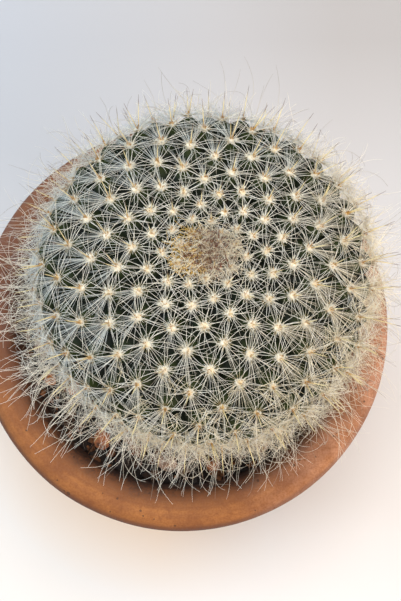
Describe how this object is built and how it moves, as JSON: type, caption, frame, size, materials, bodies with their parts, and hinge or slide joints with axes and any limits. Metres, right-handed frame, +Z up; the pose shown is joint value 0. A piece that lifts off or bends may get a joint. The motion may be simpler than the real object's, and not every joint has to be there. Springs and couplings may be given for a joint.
{
  "type": "potted pincushion cactus",
  "caption": "Flattened round pincushion cactus with spiral rows of woolly areoles, fine radial hairs and short spines, in a plain terracotta pot with grit on the soil.",
  "frame": {"origin": "centre of the pot's underside, on the pot's axis", "axes": "+Z up; -Y is the front, the side that the gap between plant and lip is widest on"},
  "size_m": [0.12, 0.12, 0.1565],
  "materials": {
    "terracotta": "unglazed orange-brown terracotta with fine dark specks",
    "potting_mix": "dark crumbly potting mix, nearly black in the gaps",
    "plant": "waxy dark green tubercles under cream wool, white hairs and tan spines with brown tips",
    "grit": "rough brown and orange-brown chips"
  },
  "bodies": {
    "root": {"pot": "terracotta", "soil": "potting_mix", "cactus": "plant", "grit_01": "grit", "grit_02": "grit", "grit_03": "grit", "grit_04": "grit", "grit_05": "grit", "grit_06": "grit", "grit_07": "grit", "grit_08": "grit", "grit_09": "grit", "grit_10": "grit", "grit_11": "grit", "grit_12": "grit", "grit_13": "grit", "grit_14": "grit", "grit_15": "grit", "grit_16": "grit", "grit_17": "grit", "grit_18": "grit", "grit_19": "grit", "grit_20": "grit", "grit_21": "grit", "grit_22": "grit", "grit_23": "grit", "grit_24": "grit", "grit_25": "grit", "grit_26": "grit"}
  },
  "joints": []
}
